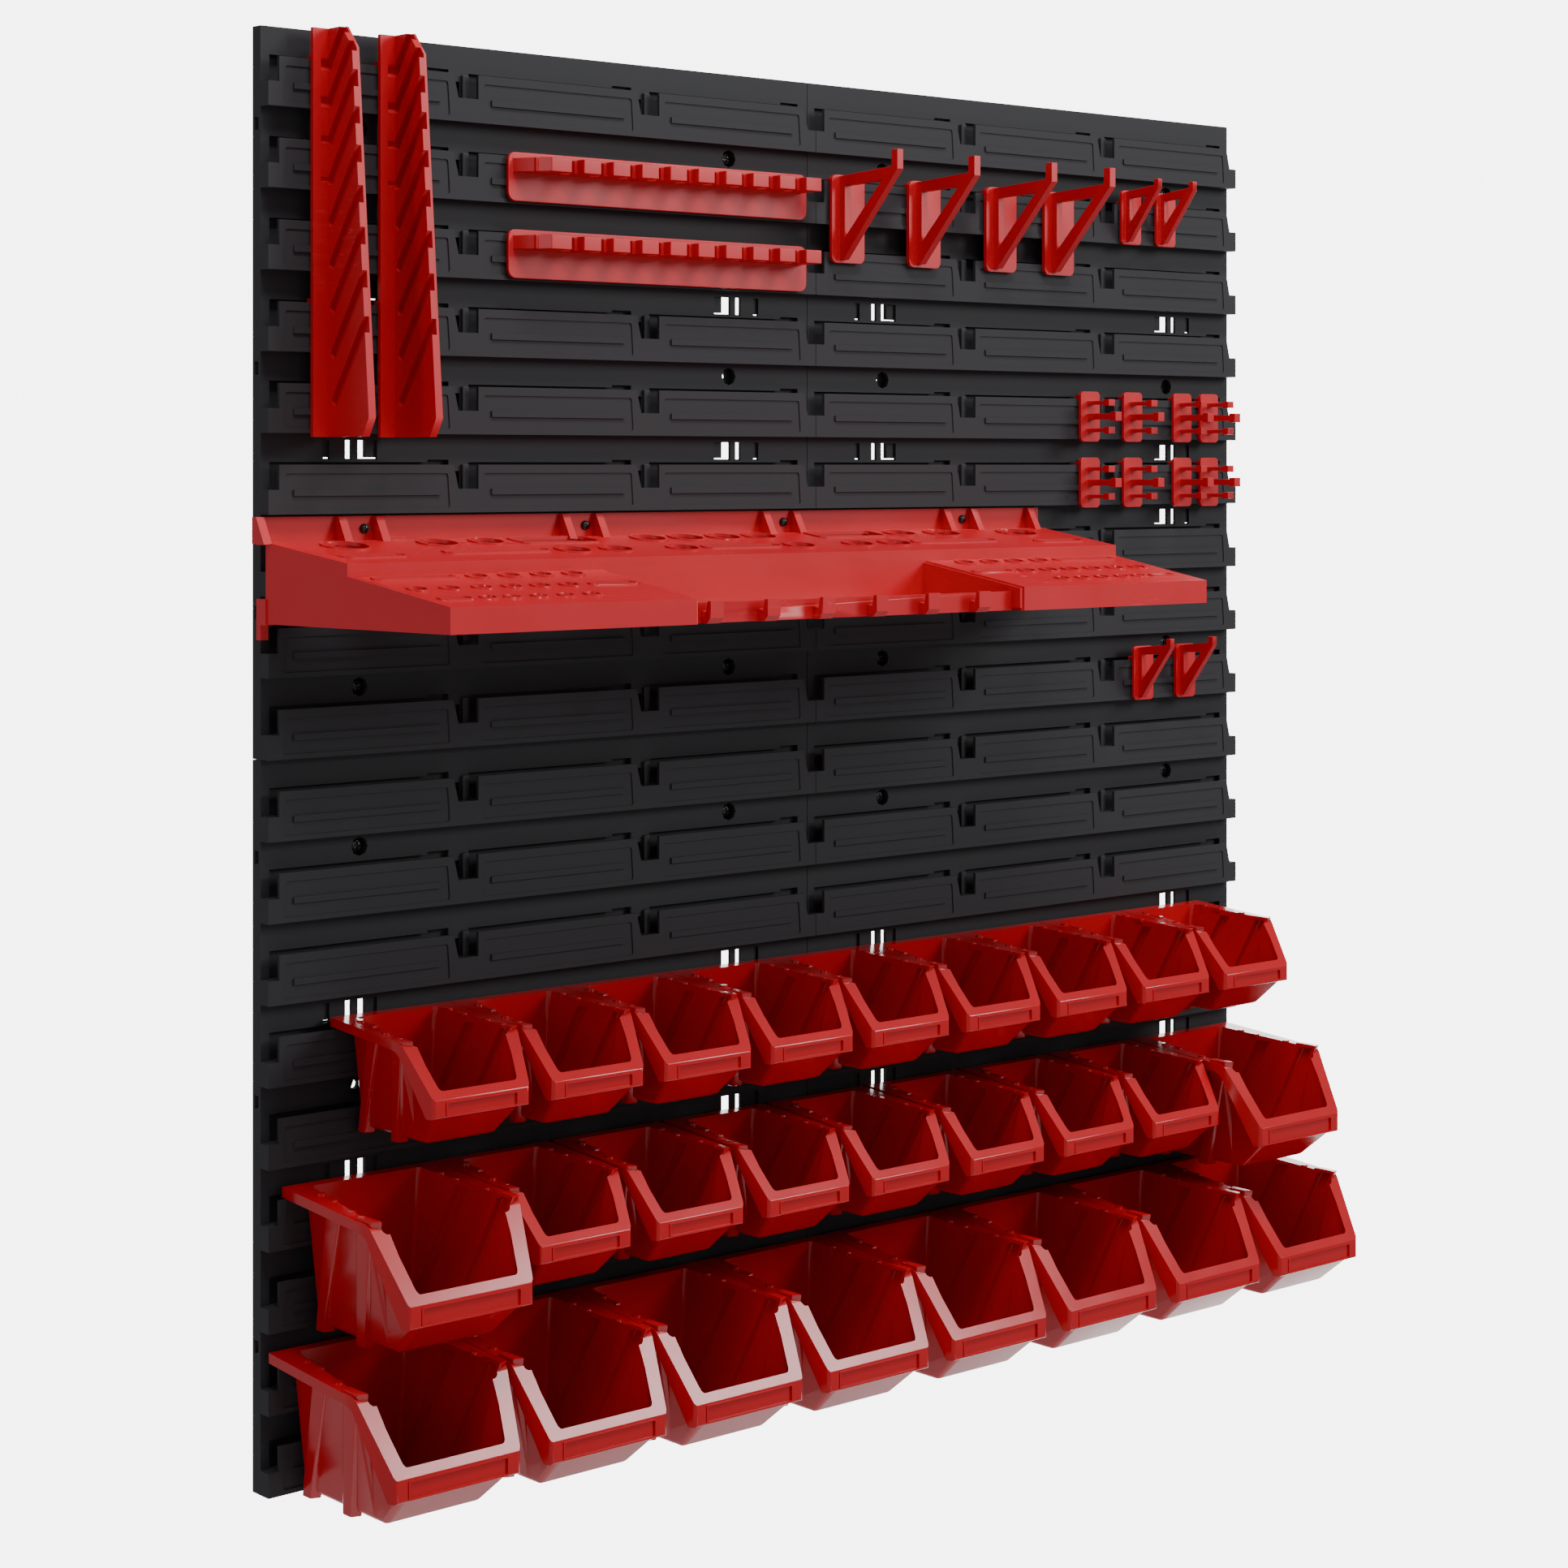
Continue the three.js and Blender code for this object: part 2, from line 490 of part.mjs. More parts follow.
const panel = geometryOf(panelSolid());
const screw = geometryOf(screwSolid());
for (const [side, column] of [['left', -1], ['right', 0]]) {
  for (const [level, row] of [['upper', 0], ['lower', -1]]) {
    const x = column * PANEL.width + PANEL.joint / 2;
    const z = row * PANEL.height + PANEL.joint / 2;
    place(`panel_${level}_${side}`, panel, BLACK_PLASTIC, x, 0, z);
    const far = PANEL.width - PANEL.joint - SCREW_HOLE.inset;
    const high = PANEL.height - PANEL.joint - SCREW_HOLE.belowLedge;
    place(`screw_${level}_${side}_a`, screw, BLACK_STEEL, x + SCREW_HOLE.inset, 0, z + high - PITCH * 8);
    place(`screw_${level}_${side}_b`, screw, BLACK_STEEL, x + far, 0, z + high - PITCH);
  }
}

// Each bin hangs with its rim above a lip row of the lower panels; places are bin middles from the joint.
const smallBin = geometryOf(binSolid(SMALL_BIN));
const largeBin = geometryOf(binSolid(LARGE_BIN));
const BIN_ROWS = [
  { name: 'top', lipRow: 4, sizes: 'sssssssss', first: -306.6, pitch: 77.3, step: 0 },
  { name: 'middle', lipRow: 6, sizes: 'lsssssssl', first: -326.5, pitch: 80.3, step: 8.2 },
  { name: 'bottom', lipRow: 8, sizes: 'llllllll', first: -334.7, pitch: 98, step: 0 },
];
for (const row of BIN_ROWS) {
  const z = lipTop(row.lipRow, true) + BIN.rise;
  let x = row.first;
  [...row.sizes].forEach((size, i) => {
    place(`bin_${row.name}_${i + 1}`, size === 'l' ? largeBin : smallBin, RED_PLASTIC, x, SKIN_Y, z);
    const mixed = row.sizes[i + 1] && row.sizes[i + 1] !== size;
    x += row.pitch + (mixed ? row.step : 0);
  });
}

place('tool_shelf', geometryOf(shelfSolid()), SATIN_RED, SHELF.middle, SKIN_Y, 0);

const wrenchRack = geometryOf(wrenchRackSolid());
place('wrench_rack_left', wrenchRack, SATIN_RED, WRENCH.left, SKIN_Y, 0);
place('wrench_rack_right', wrenchRack, SATIN_RED, WRENCH.left + WRENCH.pitch, SKIN_Y, 0);

const driverRack = geometryOf(driverRackSolid());
['upper', 'lower'].forEach((level, i) => {
  const z = lipTop(DRIVER.rows[i]) - DRIVER.lipAt;
  place(`driver_rack_${level}`, driverRack, SATIN_RED, DRIVER.left, SKIN_Y, z);
});

const largeHook = geometryOf(hookSolid(LARGE_HOOK));
const LARGE_HOOKS = { row: 2, middles: [24, 88.5, 156, 209] };
LARGE_HOOKS.middles.forEach((x, i) => {
  place(`large_hook_${i + 1}`, largeHook, SATIN_RED, x, SKIN_Y, lipTop(LARGE_HOOKS.row) - LARGE_HOOK.lipAt);
});

const smallHook = geometryOf(hookSolid(SMALL_HOOK));
const SMALL_HOOKS = [{ x: 278, row: 2 }, { x: 312, row: 2 }, { x: 290, row: 9 }, { x: 331.5, row: 9 }];
SMALL_HOOKS.forEach(({ x, row }, i) => {
  place(`small_hook_${i + 1}`, smallHook, SATIN_RED, x, SKIN_Y, lipTop(row) - SMALL_HOOK.lipAt);
});

const clip = geometryOf(clipSolid());
const CLIPS = { rows: [5, 6], middles: [238.5, 279.5, 328.5, 355.5] };
CLIPS.rows.forEach((row, level) => {
  CLIPS.middles.forEach((x, i) => {
    const name = `tool_clip_${level * CLIPS.middles.length + i + 1}`;
    place(name, clip, SATIN_RED, x, SKIN_Y, lipTop(row) - CLIP.lipAt);
  });
});

const model = new THREE.Group();
model.add(wall);

export default model;
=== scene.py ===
import math

import bmesh
import bpy
from mathutils import Matrix, Vector


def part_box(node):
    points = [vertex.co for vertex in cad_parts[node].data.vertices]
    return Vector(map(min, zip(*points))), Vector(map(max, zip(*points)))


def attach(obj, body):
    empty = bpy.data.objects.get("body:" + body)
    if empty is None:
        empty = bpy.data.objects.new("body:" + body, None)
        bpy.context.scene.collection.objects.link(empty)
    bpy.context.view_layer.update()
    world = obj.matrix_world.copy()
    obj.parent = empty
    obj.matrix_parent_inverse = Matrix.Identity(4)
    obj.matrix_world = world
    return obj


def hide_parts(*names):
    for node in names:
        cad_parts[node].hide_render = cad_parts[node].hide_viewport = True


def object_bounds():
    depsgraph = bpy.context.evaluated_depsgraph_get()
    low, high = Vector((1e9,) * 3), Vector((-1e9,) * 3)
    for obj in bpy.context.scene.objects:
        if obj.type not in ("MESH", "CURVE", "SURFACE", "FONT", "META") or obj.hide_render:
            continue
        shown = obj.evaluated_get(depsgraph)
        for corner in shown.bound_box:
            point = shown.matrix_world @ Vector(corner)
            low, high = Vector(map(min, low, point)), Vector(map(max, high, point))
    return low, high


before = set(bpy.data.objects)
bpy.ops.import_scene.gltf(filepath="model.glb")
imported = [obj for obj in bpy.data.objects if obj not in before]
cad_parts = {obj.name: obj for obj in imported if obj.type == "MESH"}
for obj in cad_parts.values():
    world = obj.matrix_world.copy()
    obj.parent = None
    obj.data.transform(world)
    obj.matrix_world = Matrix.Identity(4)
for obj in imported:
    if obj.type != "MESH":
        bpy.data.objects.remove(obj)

# Louvred tool wall. Shapes are written in millimetres as (x, out, z): x to the right, "out" away from the
# panels' front skin towards the user, z up. A piece's place comes from the box of its CAD node.

CAD_BOX = [list(corner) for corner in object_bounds()]
MM = 0.001
SKIN_Y = -0.008
WALL_BODY = "wall_assembly"

PANEL = {"width": 386, "height": 390, "rows": 9, "lips": 3, "joint": 0.4, "tongue": 2}
PITCH = PANEL["height"] / PANEL["rows"]
LIP = {"pitch": PANEL["width"] / PANEL["lips"], "start": 6.7, "length": 112, "top": 26.5, "out": 8}
SCREW = {"inset": 62.2, "below": 7, "floor": 3, "head": 4.4, "rise": 2.6, "edge": 0.35, "sides": 28,
         "first_gap": 1, "last_gap": 8}


# ---- solids --------------------------------------------------------------------------------------

def to_object(bm):
    """A linked object made from a bmesh whose points are (x, out, z) in millimetres."""
    for vert in bm.verts:
        x, out, z = vert.co
        vert.co = (x * MM, -out * MM, z * MM)
    bm.normal_update()
    bmesh.ops.recalc_face_normals(bm, faces=bm.faces)
    if bm.calc_volume(signed=True) < 0:
        bmesh.ops.reverse_faces(bm, faces=bm.faces)
    mesh = bpy.data.meshes.new("part")
    bm.to_mesh(mesh)
    bm.free()
    obj = bpy.data.objects.new("part", mesh)
    bpy.context.scene.collection.objects.link(obj)
    return obj


SOFTENED_ABOVE = math.radians(30)


def soften(bm, width, segments=2):
    """Rounds the edges of a bmesh, apart from those that hardly turn."""
    edges = [e for e in bm.edges if e.is_manifold and e.calc_face_angle() > SOFTENED_ABOVE]
    bmesh.ops.bevel(bm, geom=edges, offset=width, segments=segments, profile=0.5, affect="EDGES",
                    clamp_overlap=True)


def hull(points, round_by, segments=3):
    """The convex solid round the points, with its edges rounded."""
    bm = bmesh.new()
    for point in points:
        bm.verts.new(point)
    result = bmesh.ops.convex_hull(bm, input=bm.verts)
    bmesh.ops.delete(bm, geom=[g for g in result["geom_interior"] if g.is_valid], context="VERTS")
    bmesh.ops.dissolve_limit(bm, angle_limit=math.radians(1), verts=bm.verts, edges=bm.edges)
    bmesh.ops.recalc_face_normals(bm, faces=bm.faces)
    soften(bm, round_by, segments)
    return to_object(bm)


def prism(outline, axis, low, high, round_by=0):
    """An outline thickened along "x" (points are out, z), "out" (x, z) or "z" (x, out)."""
    order = {
        "x": lambda a, b, c: (c, a, b),
        "out": lambda a, b, c: (a, c, b),
        "z": lambda a, b, c: (a, b, c)}
    place = order[axis]
    bm = bmesh.new()
    first = [bm.verts.new(place(a, b, low)) for a, b in outline]
    last = [bm.verts.new(place(a, b, high)) for a, b in outline]
    bm.faces.new(first)
    bm.faces.new(last[::-1])
    count = len(outline)
    for i in range(count):
        j = (i + 1) % count
        bm.faces.new((first[i], last[i], last[j], first[j]))
    bmesh.ops.recalc_face_normals(bm, faces=bm.faces)
    if round_by:
        soften(bm, round_by)
    return to_object(bm)


def block(x0, x1, out0, out1, z0, z1, round_by=0):
    """A rectangular solid between two corners."""
    return prism([(x0, z0), (x1, z0), (x1, z1), (x0, z1)], "out", out0, out1, round_by)


def circle(u, v, radius, sides=28):
    """A round outline with its middle at (u, v)."""
    turns = [math.tau * i / sides for i in range(sides)]
    return [(u + radius * math.cos(turn), v + radius * math.sin(turn)) for turn in turns]


NEARLY_STRAIGHT = 1.54
MOST_OF_HALF = 0.48


def filleted(points, radius, steps=4):
    """The outline with every corner turned into an arc. A third number in a point is its own radius."""
    done = []
    count = len(points)
    for i, corner in enumerate(points):
        own = corner[2] if len(corner) > 2 else radius
        here = Vector(corner[:2])
        back = Vector(points[i - 1][:2]) - here
        ahead = Vector(points[(i + 1) % count][:2]) - here
        half = back.angle(ahead) / 2
        if own <= 0 or half > NEARLY_STRAIGHT:
            done.append(tuple(here))
            continue
        run = min(own / math.tan(half), MOST_OF_HALF * back.length, MOST_OF_HALF * ahead.length)
        own = run * math.tan(half)
        middle = here + (back.normalized() + ahead.normalized()).normalized() * (own / math.sin(half))
        start = here + back.normalized() * run - middle
        stop = here + ahead.normalized() * run - middle
        sweep = start.angle_signed(stop)
        turn = math.atan2(start.y, start.x)
        for step in range(steps + 1):
            angle = turn - sweep * step / steps
            done.append((middle.x + own * math.cos(angle), middle.y + own * math.sin(angle)))
    return done


def merged(parts):
    """Solids that don't touch each other, as one object."""
    bm = bmesh.new()
    for part in parts:
        bm.from_mesh(part.data)
    mesh = bpy.data.meshes.new("parts")
    bm.to_mesh(mesh)
    bm.free()
    parts[0].data = mesh
    for part in parts[1:]:
        bpy.data.objects.remove(part)
    return parts[0]


def joined(adds, cuts=(), keep=None):
    """One mesh: the first solid with the others added, the cuts taken away, and cut down to keep."""
    base = adds[0]
    tools = [("UNION", part) for part in adds[1:]] + [("DIFFERENCE", part) for part in cuts]
    if keep:
        tools.append(("INTERSECT", keep))
    for operation, part in tools:
        modifier = base.modifiers.new(operation, "BOOLEAN")
        modifier.solver = "EXACT"
        modifier.operation = operation
        modifier.object = part
        settled(base, [part])
    return base


def settled(obj, spent=()):
    """Applies an object's modifiers to its mesh and removes what they used."""
    evaluated = obj.evaluated_get(bpy.context.evaluated_depsgraph_get())
    mesh = bpy.data.meshes.new_from_object(evaluated)
    obj.modifiers.clear()
    obj.data = mesh
    for part in spent:
        bpy.data.objects.remove(part)


FINISH = {"weld": 0.02, "flat": 0.6, "rounded": 38, "creased": 40}


def dressed(obj, name, edge):
    """Cleans the mesh, rounds its sharp edges and gives it smooth shading. Returns the mesh."""
    bm = bmesh.new()
    bm.from_mesh(obj.data)
    bmesh.ops.remove_doubles(bm, verts=bm.verts, dist=FINISH["weld"] * MM)
    flat = math.radians(FINISH["flat"])
    bmesh.ops.dissolve_limit(bm, angle_limit=flat, verts=bm.verts, edges=bm.edges)
    bm.to_mesh(obj.data)
    bm.free()
    bevel = obj.modifiers.new("edges", "BEVEL")
    bevel.width = edge * MM
    bevel.segments = 2
    bevel.limit_method = "ANGLE"
    bevel.angle_limit = math.radians(FINISH["rounded"])
    bevel.use_clamp_overlap = True
    settled(obj)
    for face in obj.data.polygons:
        face.use_smooth = True
    obj.data.set_sharp_from_angle(angle=math.radians(FINISH["creased"]))
    weighted = obj.modifiers.new("normals", "WEIGHTED_NORMAL")
    weighted.keep_sharp = True
    settled(obj)
    mesh = obj.data
    mesh.name = name
    bpy.data.objects.remove(obj)
    return mesh


def show(mesh, name, node, origin, body, material):
    """Places a finished mesh on a body, and lets it stand for a CAD node if one is named."""
    obj = bpy.data.objects.new(name, mesh)
    bpy.context.scene.collection.objects.link(obj)
    if not mesh.materials:
        mesh.materials.append(material)
    obj.location = origin
    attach(obj, body)
    if node:
        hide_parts(node)


# ---- materials -----------------------------------------------------------------------------------

class Nodes:
    """A short way to write a material's node tree."""

    def __init__(self, name):
        self.material = bpy.data.materials.new(name)
        self.material.use_nodes = True
        self.tree = self.material.node_tree
        self.shader = self.tree.nodes["Principled BSDF"]
        self.place = self.add("ShaderNodeTexCoord").outputs["Object"]

    def add(self, kind, **values):
        node = self.tree.nodes.new(kind)
        for key, value in values.items():
            setattr(node, key, value)
        return node

    def link(self, source, target):
        self.tree.links.new(source, target)

    def noise(self, scale, detail=2.0, roughness=0.5, stretch=None):
        """A noise in object space. stretch is three scales and then three turns in radians."""
        node = self.add("ShaderNodeTexNoise")
        node.inputs["Scale"].default_value = scale
        node.inputs["Detail"].default_value = detail
        node.inputs["Roughness"].default_value = roughness
        place = self.place
        if stretch:
            mapping = self.add("ShaderNodeMapping")
            mapping.inputs["Scale"].default_value = stretch[:3]
            mapping.inputs["Rotation"].default_value = stretch[3:]
            self.link(place, mapping.inputs["Vector"])
            place = mapping.outputs["Vector"]
        self.link(place, node.inputs["Vector"])
        return node.outputs["Fac"]

    def span(self, value, low, high, to_low, to_high):
        """The value, clamped between low and high, on a scale from to_low to to_high."""
        node = self.add("ShaderNodeMapRange")
        node.clamp = True
        node.inputs["From Min"].default_value = low
        node.inputs["From Max"].default_value = high
        node.inputs["To Min"].default_value = to_low
        node.inputs["To Max"].default_value = to_high
        self.link(value, node.inputs["Value"])
        return node.outputs["Result"]

    def mix(self, factor, first, second):
        """A colour between two colours or colour outputs."""
        node = self.add("ShaderNodeMix", data_type="RGBA")
        self.link(factor, node.inputs[0])
        for socket, colour in ((node.inputs[6], first), (node.inputs[7], second)):
            if isinstance(colour, tuple):
                socket.default_value = (*colour, 1)
            else:
                self.link(colour, socket)
        return node.outputs[2]

    def maths(self, operation, first, second):
        """A sum, product or other result of two numbers or outputs."""
        node = self.add("ShaderNodeMath", operation=operation)
        for socket, value in zip(node.inputs, (first, second)):
            if isinstance(value, (int, float)):
                socket.default_value = value
            else:
                self.link(value, socket)
        return node.outputs[0]

    def bump(self, heights):
        """heights is a list of (height output, distance in millimetres)."""
        normal = None
        for height, distance in heights:
            node = self.add("ShaderNodeBump")
            node.inputs["Distance"].default_value = distance * MM
            self.link(height, node.inputs["Height"])
            if normal:
                self.link(normal, node.inputs["Normal"])
            normal = node.outputs["Normal"]
        self.link(normal, self.shader.inputs["Normal"])

    def scratches(self, scale, slant, width=0.012):
        """Thin pale lines where a stretched noise crosses its middle value."""
        lines = self.noise(scale, 1.0, 0.4, stretch=(1.0, 1.0, 14.0, slant, slant, 0))
        near = self.maths("ABSOLUTE", self.maths("SUBTRACT", lines, 0.5), 0)
        line = self.span(near, 0.0, width, 1.0, 0.0)
        patch = self.span(self.noise(9.0, 2.0), 0.56, 0.66, 0.0, 1.0)
        return self.maths("MULTIPLY", line, patch)


def moulded_plastic(name, colour, deep, rough, grain, scuff, coat):
    """Injection-moulded plastic: fine grain, slow colour drift, uneven gloss and thin pale scratches.
    rough is the least and the most roughness, and grain the depth of the grain and of the ripple in mm."""
    nodes = Nodes(name)
    drift = nodes.span(nodes.noise(6.0, 3.0), 0.3, 0.7, 0.0, 1.0)
    fine = nodes.noise(900.0, 2.0, 0.6)
    ripple = nodes.noise(34.0, 2.0, 0.45)
    marks = nodes.scratches(26.0, 0.9)
    base = nodes.mix(drift, deep, colour)
    pale = tuple(min(1.0, channel * 1.5 + scuff * 0.25) for channel in colour)
    base = nodes.mix(nodes.maths("MULTIPLY", marks, scuff), base, pale)
    nodes.link(base, nodes.shader.inputs["Base Color"])
    rubbed = nodes.span(nodes.noise(14.0, 4.0, 0.6), 0.35, 0.7, *rough)
    nodes.link(nodes.maths("ADD", rubbed, nodes.maths("MULTIPLY", marks, 0.12)),
               nodes.shader.inputs["Roughness"])
    nodes.shader.inputs["Coat Weight"].default_value = coat
    nodes.shader.inputs["Coat Roughness"].default_value = 0.08
    nodes.shader.inputs["IOR"].default_value = 1.5
    nodes.bump([(ripple, grain[1]), (fine, grain[0])])
    return nodes.material


BLACK = moulded_plastic(
    "black_grained_plastic", colour=(0.027, 0.028, 0.030), deep=(0.018, 0.019, 0.021),
    rough=(0.28, 0.42), grain=(0.03, 0.05), scuff=0.5, coat=0.0)
GLOSSY_RED = moulded_plastic(
    "glossy_red_plastic", colour=(0.5, 0.002, 0.008), deep=(0.42, 0.0015, 0.006),
    rough=(0.16, 0.24), grain=(0.003, 0.03), scuff=0.1, coat=0.15)
SATIN_RED = moulded_plastic(
    "satin_red_plastic", colour=(0.6, 0.005, 0.014), deep=(0.5, 0.004, 0.011),
    rough=(0.34, 0.46), grain=(0.02, 0.05), scuff=0.3, coat=0.05)


def black_steel():
    """Black-coated screw steel with the coating worn thin in places."""
    nodes = Nodes("black_coated_steel")
    wear = nodes.span(nodes.noise(700.0, 4.0, 0.65), 0.45, 0.7, 0.0, 1.0)
    colour = nodes.mix(wear, (0.02, 0.02, 0.022), (0.16, 0.16, 0.17))
    nodes.link(colour, nodes.shader.inputs["Base Color"])
    nodes.link(nodes.span(wear, 0, 1, 0.42, 0.26), nodes.shader.inputs["Roughness"])
    nodes.shader.inputs["Metallic"].default_value = 0.85
    nodes.bump([(nodes.noise(1600.0, 2.0), 0.02)])
    return nodes.material


STEEL = black_steel()


# ---- panels --------------------------------------------------------------------------------------

RECESS = {"side": 3.8, "low": 2.6, "high": 21.8, "deep": 0.6, "lean": 1.4, "corner": 1.5}
BAR = {"side": 9.0, "low": 9.8, "high": 13.2, "sunk": 1.5, "proud": 0.45}
NOTCH = {"before": 13.6, "until": 7.2, "low": 13.3, "high": 23, "deep": 3}
POST = {"before": 6.6, "until": 1.9, "out": 2.2, "sunk": 1.5, "low": 12.1, "high": 27, "edge": 1.0}
# The next two tables place dark blocks of painted shade behind the windows and slots, so that these openings
# read as shaded.
WINDOW_SHADE_STRIP = {"side": 4, "near": -3.4, "far": -4.6, "low": 11, "high": 29.8}
SLOT_SHADE_BACK = {"gaps": (3, 5, 6), "spans": ((37, 45), (67, 75)), "far": -4.4, "near": -1.5, "below": 4,
             "above": 7}
PANEL_EDGE = 0.45


def welded(mesh, shift):
    """Moves a CAD mesh and joins the points that its flat shading keeps apart."""
    bm = bmesh.new()
    bm.from_mesh(mesh)
    bmesh.ops.remove_doubles(bm, verts=bm.verts, dist=0.005 * MM)
    bmesh.ops.translate(bm, verts=bm.verts, vec=shift)
    bmesh.ops.dissolve_limit(bm, angle_limit=math.radians(0.1), verts=bm.verts, edges=bm.edges)
    bm.to_mesh(mesh)
    bm.free()


def lip_field(left, right, foot):
    """The solid that sinks a shallow trapezoid into a lip's front."""
    narrow = RECESS["side"]
    wide = RECESS["side"] - RECESS["lean"]
    low = foot + RECESS["low"]
    high = foot + RECESS["high"]
    corners = [(left + wide, low), (right - wide, low), (right - narrow, high), (left + narrow, high)]
    outline = filleted(corners, RECESS["corner"], 3)
    return prism(outline, "out", LIP["out"] - RECESS["deep"], LIP["out"] + 1)


def lip_bar(left, right, foot):
    """The thin raised bar along a lip's front."""
    return block(left + BAR["side"], right - BAR["side"], LIP["out"] - BAR["sunk"], LIP["out"] + BAR["proud"],
                 foot + BAR["low"], foot + BAR["high"])


def painted_slot_shades():
    """Painted shade: dark blocks that close parts of the small slots from behind, standing in for the shade
    seen through them.
    """
    blocks = []
    for gap in SLOT_SHADE_BACK["gaps"]:
        middle = -PITCH * gap - (PITCH - LIP["top"]) / 2
        for near_edge, far_edge in SLOT_SHADE_BACK["spans"]:
            for x0, x1 in ((near_edge, far_edge), (PANEL["width"] - far_edge, PANEL["width"] - near_edge)):
                blocks.append(block(x0, x1, SLOT_SHADE_BACK["far"], SLOT_SHADE_BACK["near"], middle - SLOT_SHADE_BACK["below"],
                                    middle + SLOT_SHADE_BACK["above"]))
    return blocks


def panel_mesh(node):
    """The CAD panel with notches, posts, a sunk field and a raised bar on each lip, and rounded edges, with
    painted shade:
    dark strips behind its windows and dark blocks behind some of its slots."""
    low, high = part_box(node)
    body = bpy.data.objects.new("panel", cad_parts[node].data.copy())
    welded(body.data, (-low.x, -SKIN_Y, -high.z))
    bpy.context.scene.collection.objects.link(body)
    width = (high.x - low.x) / MM - PANEL["tongue"]
    cuts = []
    adds = []
    for row in range(1, PANEL["rows"] + 1):
        foot = -PITCH * row + PANEL["joint"]
        # Painted shade: a dark strip behind the row's windows, standing in for the shade seen through them.
        adds.append(block(WINDOW_SHADE_STRIP["side"], width - WINDOW_SHADE_STRIP["side"], WINDOW_SHADE_STRIP["far"], WINDOW_SHADE_STRIP["near"],
                          foot + WINDOW_SHADE_STRIP["low"], foot + WINDOW_SHADE_STRIP["high"]))
        for lip in range(PANEL["lips"]):
            left = LIP["start"] + LIP["pitch"] * lip
            right = left + LIP["length"]
            cuts.append(lip_field(left, right, foot))
            if lip:
                cuts.append(block(left - NOTCH["before"], left - NOTCH["until"], -NOTCH["deep"], 1,
                                  foot + NOTCH["low"], foot + NOTCH["high"]))
                adds.append(block(left - POST["before"], left - POST["until"], -POST["sunk"], POST["out"],
                                  foot + POST["low"], foot + POST["high"], POST["edge"]))
            adds.append(lip_bar(left, right, foot))
    # Painted shade: dark blocks behind some of the small slots.
    adds += painted_slot_shades()
    body = joined([body], [merged(cuts)])
    body = joined([body, merged(adds)])
    return dressed(body, "panel", PANEL_EDGE)


def panel_nodes():
    return [f"panel_{level}_{side}" for side in ("left", "right") for level in ("upper", "lower")]


def make_panels():
    """All four panels are alike, so they share the first one's mesh."""
    mesh = panel_mesh(panel_nodes()[0])
    for node in panel_nodes():
        low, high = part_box(node)
        show(mesh, f"{node}_shell", node, (low.x, SKIN_Y, high.z), WALL_BODY, BLACK)


DOME = {"step": 15, "rings": 6, "edge": 0.15}
CROSS = {"arm": 2.5, "half": 0.5, "floor": 1.2, "above": 5}


def screw_mesh():
    """A domed screw head with a cross recess. Its origin is in the middle of the head's flat back."""
    turns = [math.radians(DOME["step"] * i) for i in range(DOME["rings"])]
    profile = [(SCREW["head"], 0.05)]
    profile += [(SCREW["head"] * math.cos(a), SCREW["edge"] + SCREW["rise"] * math.sin(a)) for a in turns]
    bm = bmesh.new()
    rings = []
    for radius, out in profile:
        ring = circle(0, 0, radius, SCREW["sides"])
        rings.append([bm.verts.new((x, out, z)) for x, z in ring])
    for lower, upper in zip(rings, rings[1:]):
        for i in range(SCREW["sides"]):
            j = (i + 1) % SCREW["sides"]
            bm.faces.new((lower[i], lower[j], upper[j], upper[i]))
    bm.faces.new(rings[0])
    bm.faces.new(rings[-1][::-1])
    dome = to_object(bm)
    cross = []
    for x, z in ((CROSS["arm"], CROSS["half"]), (CROSS["half"], CROSS["arm"])):
        cross.append(block(-x, x, CROSS["floor"], CROSS["above"], -z, z))
    return dressed(joined([dome], [joined(cross)]), "screw", DOME["edge"])


def make_screws():
    """Four screws a panel: two stand for CAD nodes, and two more sit in the other corners' recesses."""
    mesh = screw_mesh()
    width = PANEL["width"] - PANEL["joint"]
    columns = {"a": SCREW["inset"], "b": width - SCREW["inset"]}
    rows = {"a": PITCH * SCREW["last_gap"] + SCREW["below"], "b": PITCH * SCREW["first_gap"] + SCREW["below"]}
    for node in panel_nodes():
        low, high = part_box(node)
        start = node.replace("panel", "screw")
        for column, x in columns.items():
            for row, down in rows.items():
                place = (low.x + x * MM, -SCREW["floor"] * MM, high.z - down * MM)
                if column == row:
                    screw = f"{start}_{column}"
                    show(mesh, f"{screw}_head", screw, place, WALL_BODY, STEEL)
                else:
                    show(mesh, f"{start}_{column}{row}_head", None, place, WALL_BODY, STEEL)


# ---- bins ----------------------------------------------------------------------------------------

